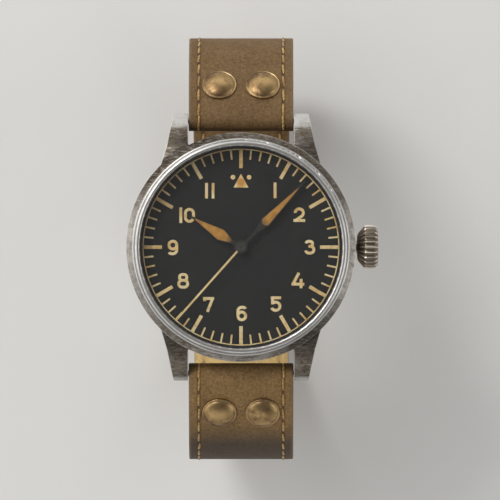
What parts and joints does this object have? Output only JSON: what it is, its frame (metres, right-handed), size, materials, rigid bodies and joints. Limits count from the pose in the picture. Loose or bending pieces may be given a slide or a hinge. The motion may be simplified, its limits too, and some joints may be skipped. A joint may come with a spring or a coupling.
{
  "type": "pilot watch",
  "caption": "Hand-wound pilot watch in a round steel case on a riveted leather strap, buckled into a closed loop, with its movement, crown and buckle.",
  "frame": {"origin": "on the dial axis, at the case back's outer face", "axes": "+Z out of the dial, +Y to twelve o'clock, +X to the crown at three o'clock"},
  "size_m": [0.0473, 0.081, 0.0599],
  "materials": {
    "case_steel": "brushed and worn",
    "bezel_steel": "polished",
    "crystal_glass": "clear",
    "gasket_rubber": "soft",
    "flange_black": "satin black",
    "dial_black": "matt black",
    "print_sand": "aged luminous print",
    "lume_amber": "aged luminous filling",
    "hand_black": "satin black",
    "hand_sand": "satin sand",
    "plate_nickel": "satin",
    "screw_steel": "polished",
    "train_brass": "polished",
    "jewel_ruby": "polished",
    "ring_plastic": "moulded",
    "strap_leather": "waxed brown leather",
    "lining_leather": "plain beige lining",
    "rivet_brass": "antique brass"
  },
  "bodies": {
    "root": {"case_middle": "case_steel", "bezel": "bezel_steel", "crystal": "crystal_glass", "crystal_gasket": "gasket_rubber", "inner_flange": "flange_black", "dial": "dial_black", "dial_marks": "print_sand", "movement_ring": "ring_plastic", "main_plate": "plate_nickel", "barrel_bridge": "plate_nickel", "train_bridge": "plate_nickel", "balance_cock": "plate_nickel", "bridge_screws": "screw_steel", "jewels": "jewel_ruby", "case_back": "case_steel", "case_back_gasket": "gasket_rubber", "crown_tube": "screw_steel", "spring_bar_12": "screw_steel", "spring_bar_6": "screw_steel", "strap_12_leather": "strap_leather", "strap_12_lining": "lining_leather", "strap_12_rivets": "rivet_brass", "strap_6_leather": "strap_leather", "strap_6_lining": "lining_leather", "strap_6_rivets": "rivet_brass", "buckle_frame": "case_steel", "buckle_bar": "screw_steel", "fixed_keeper": "strap_leather", "hairspring": "screw_steel"},
    "minute_train": {"centre_wheel": "train_brass", "cannon_pinion": "train_brass", "minute_hand": "hand_black", "minute_hand_lume": "lume_amber"},
    "hour_train": {"hour_wheel": "train_brass", "hour_hand": "hand_black", "hour_hand_lume": "lume_amber"},
    "second_train": {"fourth_wheel": "train_brass", "second_hand": "hand_sand"},
    "third_train": {"third_wheel": "train_brass"},
    "motion_train": {"minute_wheel": "train_brass"},
    "going_barrel": {"barrel": "train_brass", "barrel_cover": "train_brass", "mainspring": "screw_steel"},
    "barrel_core": {"barrel_arbor": "screw_steel", "ratchet_wheel": "screw_steel"},
    "crown_gear": {"crown_wheel": "screw_steel"},
    "winding": {"winding_pinion": "screw_steel"},
    "crown_set": {"crown": "case_steel", "stem": "screw_steel", "crown_gasket": "gasket_rubber"},
    "escape": {"escape_wheel": "train_brass"},
    "pallets": {"pallet_fork": "screw_steel"},
    "balance": {"balance_wheel": "train_brass"},
    "tongue": {"buckle_tongue": "screw_steel"},
    "keeper": {"free_keeper": "strap_leather"}
  },
  "joints": [
    {"name": "minute_turn", "type": "hinge", "parent": "root", "child": "minute_train", "pos_m": [0, 0, 0.0044], "axis": [0, 0, -1], "continuous": true},
    {"name": "hour_turn", "type": "hinge", "parent": "root", "child": "hour_train", "pos_m": [0, 0, 0.0065], "axis": [0, 0, -1], "continuous": true},
    {"name": "second_turn", "type": "hinge", "parent": "root", "child": "second_train", "pos_m": [0, 0, 0.003], "axis": [0, 0, -1], "continuous": true},
    {"name": "third_turn", "type": "hinge", "parent": "root", "child": "third_train", "pos_m": [-0.0027, -0.0027, 0.0034], "axis": [0, 0, -1], "continuous": true},
    {"name": "motion_turn", "type": "hinge", "parent": "root", "child": "motion_train", "pos_m": [0.00288, 0, 0.0061], "axis": [0, 0, -1], "continuous": true},
    {"name": "barrel_turn", "type": "hinge", "parent": "root", "child": "going_barrel", "pos_m": [0.00182, 0.00678, 0.0035], "axis": [0, 0, -1], "continuous": true},
    {"name": "escape_turn", "type": "hinge", "parent": "root", "child": "escape", "pos_m": [0.0013, -0.00358, 0.0038], "axis": [0, 0, -1], "continuous": true},
    {"name": "crown_turn", "type": "hinge", "parent": "root", "child": "winding", "pos_m": [0.012, 0, 0.0044], "axis": [1, 0, 0], "continuous": true},
    {"name": "crown_pull", "type": "slide", "parent": "winding", "child": "crown_set", "axis": [1, 0, 0], "range_m": [0, 0.0009]},
    {"name": "crown_gear_turn", "type": "hinge", "parent": "root", "child": "crown_gear", "pos_m": [0.00861, 0, 0.00185], "axis": [0, 0, 1], "continuous": true},
    {"name": "ratchet_turn", "type": "hinge", "parent": "root", "child": "barrel_core", "pos_m": [0.00182, 0.00678, 0.00185], "axis": [0, 0, 1], "continuous": true},
    {"name": "pallet_swing", "type": "hinge", "parent": "root", "child": "pallets", "pos_m": [0.00364, -0.00493, 0.0038], "axis": [0, 0, -1], "range_deg": [-4, 4]},
    {"name": "balance_swing", "type": "hinge", "parent": "root", "child": "balance", "pos_m": [0.00704, -0.00833, 0.0031], "axis": [0, 0, -1], "range_deg": [-150, 150], "stiffness_Nm_per_rad": 0.000000089},
    {"name": "tongue_swing", "type": "hinge", "parent": "root", "child": "tongue", "pos_m": [0, 0.002, -0.04238], "axis": [1, 0, 0], "range_deg": [0, 11]},
    {"name": "keeper_slide", "type": "hinge", "parent": "root", "child": "keeper", "pos_m": [0, 0.01413, -0.01793], "axis": [1, 0, 0], "range_deg": [-20, 8]}
  ],
  "couplings": [
    {"joint": "hour_turn", "follows": "minute_turn", "ratio": 0.083333},
    {"joint": "second_turn", "follows": "minute_turn", "ratio": 60},
    {"joint": "third_turn", "follows": "minute_turn", "ratio": -8},
    {"joint": "motion_turn", "follows": "minute_turn", "ratio": -0.33333},
    {"joint": "barrel_turn", "follows": "minute_turn", "ratio": -0.125},
    {"joint": "escape_turn", "follows": "minute_turn", "ratio": -600},
    {"joint": "crown_gear_turn", "follows": "crown_turn", "ratio": 0.4},
    {"joint": "ratchet_turn", "follows": "crown_turn", "ratio": -0.22951}
  ]
}
